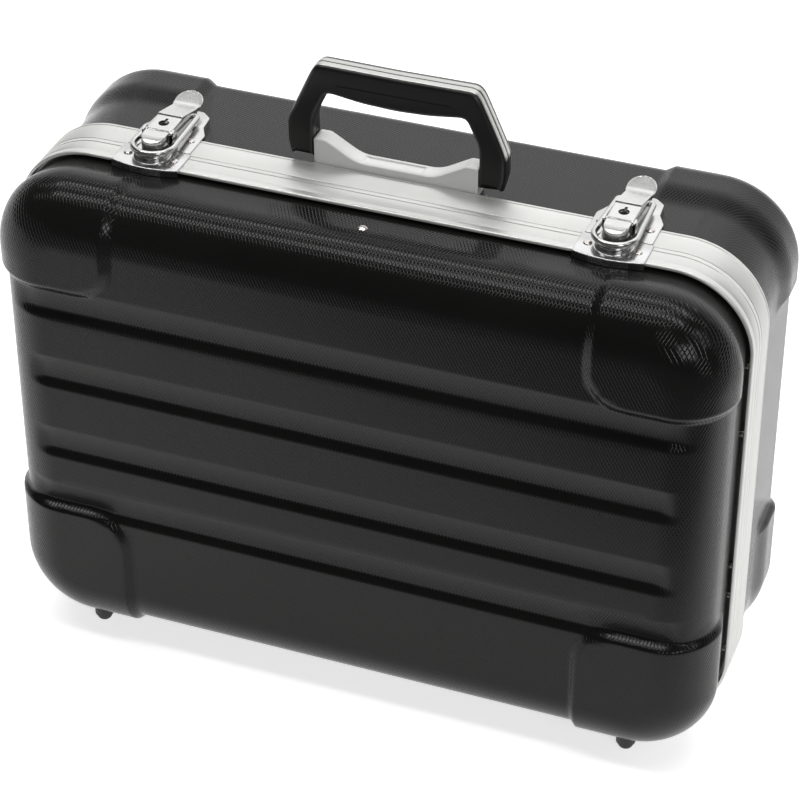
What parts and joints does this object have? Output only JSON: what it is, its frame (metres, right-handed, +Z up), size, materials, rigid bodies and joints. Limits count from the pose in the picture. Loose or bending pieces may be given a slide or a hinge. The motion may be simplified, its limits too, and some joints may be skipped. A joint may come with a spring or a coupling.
{
  "type": "attache case",
  "caption": "Hard attache case: black moulded shells in aluminium edge frames, hinged along the bottom, with a folding handle and key-locked draw latches on top.",
  "frame": {"origin": "under the middle of the closed case, on the plane of its feet", "axes": "+X to the case's right as seen from the lid side, +Y from the lid (front) to the base shell (rear), +Z up towards the handle"},
  "size_m": [0.48, 0.18, 0.417],
  "materials": {
    "shell_abs": "black moulded ABS with a fine diamond grain, low sheen",
    "frame_aluminium": "bright satin anodised, brushed along its length",
    "latch_chrome": "bright plated, lightly polished",
    "keeper_chrome": "bright plated, lightly polished",
    "lock_metal": "dark, dull lock face",
    "bracket_metal": "satin silver coating on a die casting",
    "grip_plastic": "black, satin",
    "grip_trim_metal": "bright satin",
    "foot_plastic": "black, dull",
    "rivet_steel": "plated, satin",
    "hinge_steel": "plated, satin",
    "stay_steel": "plated, satin",
    "plain_steel": "zinc plated"
  },
  "bodies": {
    "base": {"rear_shell": "shell_abs", "rear_frame": "frame_aluminium", "rear_frame_splice": "frame_aluminium", "rear_shell_rivets": "rivet_steel", "rear_foot_left": "foot_plastic", "rear_foot_right": "foot_plastic", "rear_foot_nuts": "rivet_steel", "handle_bracket": "bracket_metal", "handle_backing_plate": "plain_steel", "handle_screws": "plain_steel", "handle_pins": "plain_steel", "rear_hinge_rivets": "rivet_steel", "hinge_rear_leaf_left": "hinge_steel", "hinge_pin_left": "hinge_steel", "latch_housing_left": "latch_chrome", "latch_pin_left": "latch_chrome", "latch_rivets_left": "rivet_steel", "stay_rear_bracket_left": "stay_steel", "hinge_rear_leaf_right": "hinge_steel", "hinge_pin_right": "hinge_steel", "latch_housing_right": "latch_chrome", "latch_pin_right": "latch_chrome", "latch_rivets_right": "rivet_steel", "stay_rear_bracket_right": "stay_steel"},
    "lid": {"front_shell": "shell_abs", "front_frame": "frame_aluminium", "front_frame_splice": "frame_aluminium", "front_shell_rivets": "rivet_steel", "front_foot_left": "foot_plastic", "front_foot_right": "foot_plastic", "front_foot_nuts": "rivet_steel", "front_hinge_rivets": "rivet_steel", "lid_rivet": "rivet_steel", "lid_rivet_washer": "rivet_steel", "hinge_front_leaf_left": "hinge_steel", "latch_keeper_left": "keeper_chrome", "keeper_rivets_left": "rivet_steel", "stay_front_bracket_left": "stay_steel", "hinge_front_leaf_right": "hinge_steel", "latch_keeper_right": "keeper_chrome", "keeper_rivets_right": "rivet_steel", "stay_front_bracket_right": "stay_steel"},
    "handle": {"grip_front_half": "grip_plastic", "grip_rear_half": "grip_plastic", "grip_trim_front": "grip_trim_metal", "grip_trim_rear": "grip_trim_metal", "grip_screws": "plain_steel"},
    "latch_lever_left": {"latch_lever_left": "latch_chrome"},
    "latch_lever_right": {"latch_lever_right": "latch_chrome"},
    "latch_bail_left": {"latch_bail_left": "latch_chrome"},
    "latch_bail_right": {"latch_bail_right": "latch_chrome"},
    "lock_left": {"lock_cylinder_left": "lock_metal"},
    "lock_right": {"lock_cylinder_right": "lock_metal"},
    "stay_lower_left": {"stay_lower_arm_left": "stay_steel", "stay_elbow_pin_left": "stay_steel"},
    "stay_lower_right": {"stay_lower_arm_right": "stay_steel", "stay_elbow_pin_right": "stay_steel"},
    "stay_upper_left": {"stay_upper_arm_left": "stay_steel"},
    "stay_upper_right": {"stay_upper_arm_right": "stay_steel"}
  },
  "joints": [
    {"name": "lid_hinge", "type": "hinge", "parent": "base", "child": "lid", "pos_m": [0, -0.014, 0.0044], "axis": [1, 0, 0], "range_deg": [0, 95]},
    {"name": "handle_pivot", "type": "hinge", "parent": "base", "child": "handle", "pos_m": [0, 0.0135, 0.357], "axis": [1, 0, 0], "range_deg": [-90, 90]},
    {"name": "latch_lever_left_pivot", "type": "hinge", "parent": "base", "child": "latch_lever_left", "pos_m": [-0.149, -0.0121, 0.3609], "axis": [1, 0, 0], "range_deg": [0, 75]},
    {"name": "latch_bail_left_pivot", "type": "hinge", "parent": "latch_lever_left", "child": "latch_bail_left", "pos_m": [-0.149, 0.022, 0.3548], "axis": [1, 0, 0], "range_deg": [-100, 0]},
    {"name": "lock_left_turn", "type": "hinge", "parent": "latch_lever_left", "child": "lock_left", "pos_m": [-0.149, -0.0044, 0.357], "axis": [0, 0, 1], "range_deg": [0, 90]},
    {"name": "latch_lever_right_pivot", "type": "hinge", "parent": "base", "child": "latch_lever_right", "pos_m": [0.149, -0.0121, 0.3609], "axis": [1, 0, 0], "range_deg": [0, 75]},
    {"name": "latch_bail_right_pivot", "type": "hinge", "parent": "latch_lever_right", "child": "latch_bail_right", "pos_m": [0.149, 0.022, 0.3548], "axis": [1, 0, 0], "range_deg": [-100, 0]},
    {"name": "lock_right_turn", "type": "hinge", "parent": "latch_lever_right", "child": "lock_right", "pos_m": [0.149, -0.0044, 0.357], "axis": [0, 0, 1], "range_deg": [0, 90]},
    {"name": "stay_lower_left_pivot", "type": "hinge", "parent": "base", "child": "stay_lower_left", "pos_m": [-0.227, -0.004, 0.12398], "axis": [1, 0, 0], "range_deg": [0, 95]},
    {"name": "stay_upper_left_pivot", "type": "hinge", "parent": "stay_lower_left", "child": "stay_upper_left", "pos_m": [-0.227, -0.014, 0.24357], "axis": [1, 0, 0], "range_deg": [-95, 0]},
    {"name": "stay_lower_right_pivot", "type": "hinge", "parent": "base", "child": "stay_lower_right", "pos_m": [0.227, -0.004, 0.12398], "axis": [1, 0, 0], "range_deg": [0, 95]},
    {"name": "stay_upper_right_pivot", "type": "hinge", "parent": "stay_lower_right", "child": "stay_upper_right", "pos_m": [0.227, -0.014, 0.24357], "axis": [1, 0, 0], "range_deg": [-95, 0]}
  ],
  "couplings": [
    {"joint": "latch_bail_left_pivot", "follows": "latch_lever_left_pivot", "ratio": -1.3333},
    {"joint": "latch_bail_right_pivot", "follows": "latch_lever_right_pivot", "ratio": -1.3333},
    {"joint": "stay_lower_left_pivot", "follows": "lid_hinge", "ratio": 1},
    {"joint": "stay_upper_left_pivot", "follows": "lid_hinge", "ratio": -1},
    {"joint": "stay_lower_right_pivot", "follows": "lid_hinge", "ratio": 1},
    {"joint": "stay_upper_right_pivot", "follows": "lid_hinge", "ratio": -1}
  ]
}
